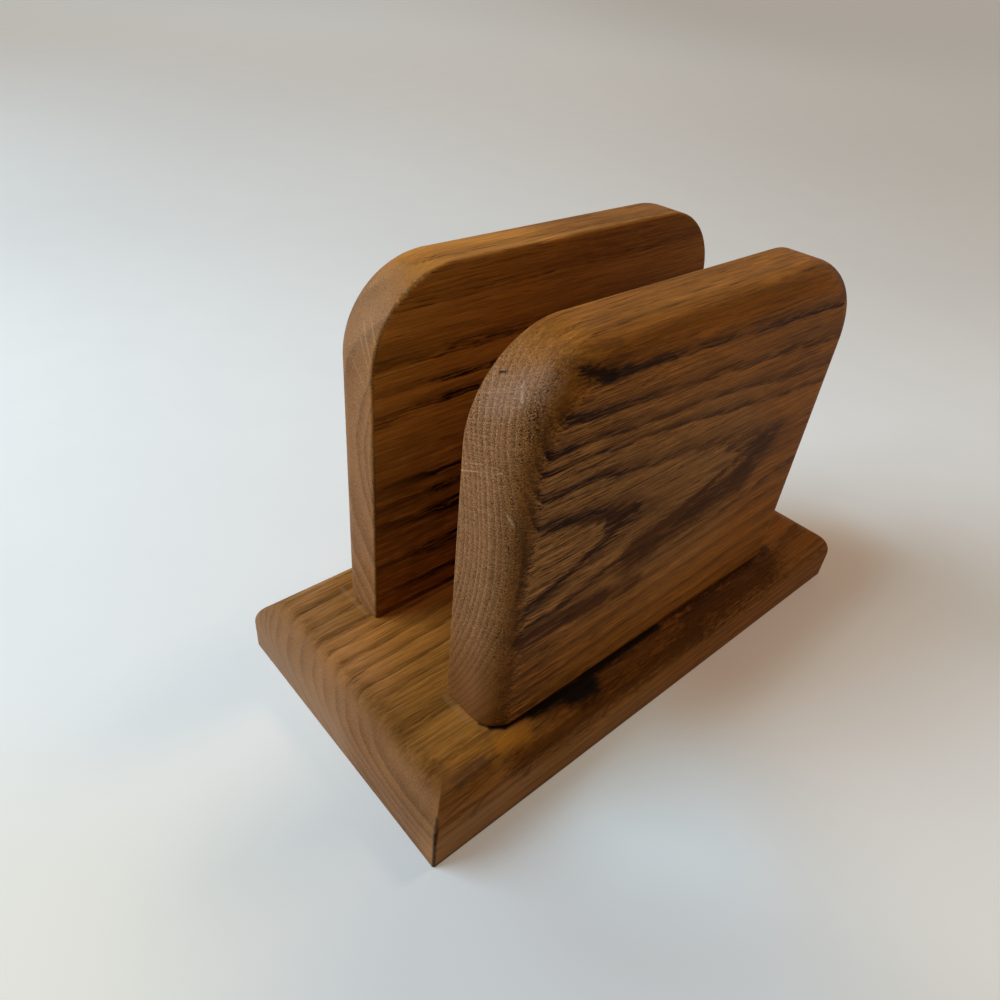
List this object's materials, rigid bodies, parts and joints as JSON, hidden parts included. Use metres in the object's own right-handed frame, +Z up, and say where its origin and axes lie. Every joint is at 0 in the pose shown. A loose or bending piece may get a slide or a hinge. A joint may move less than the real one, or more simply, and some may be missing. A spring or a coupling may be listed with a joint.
{
  "type": "napkin holder",
  "caption": "Napkin holder of solid oak: upright boards with rounded upper corners stand on a rounded base board and leave a slot for napkins.",
  "frame": {"origin": "centre of the underside of the base board", "axes": "+X along the grain and the length of the boards, -Y towards the front upright, +Z up"},
  "size_m": [0.178, 0.089, 0.12],
  "materials": {
    "base_oak": "stained medium brown oak, satin oil finish, grain along X",
    "front_oak": "stained medium brown oak, satin oil finish, grain along X",
    "rear_oak": "stained medium brown oak, satin oil finish, grain along X",
    "screw_steel": "zinc-plated steel, satin"
  },
  "bodies": {
    "root": {"base_board": "base_oak", "front_upright": "front_oak", "rear_upright": "rear_oak", "front_screw_left": "screw_steel", "front_screw_right": "screw_steel", "rear_screw_left": "screw_steel", "rear_screw_right": "screw_steel"}
  },
  "joints": []
}
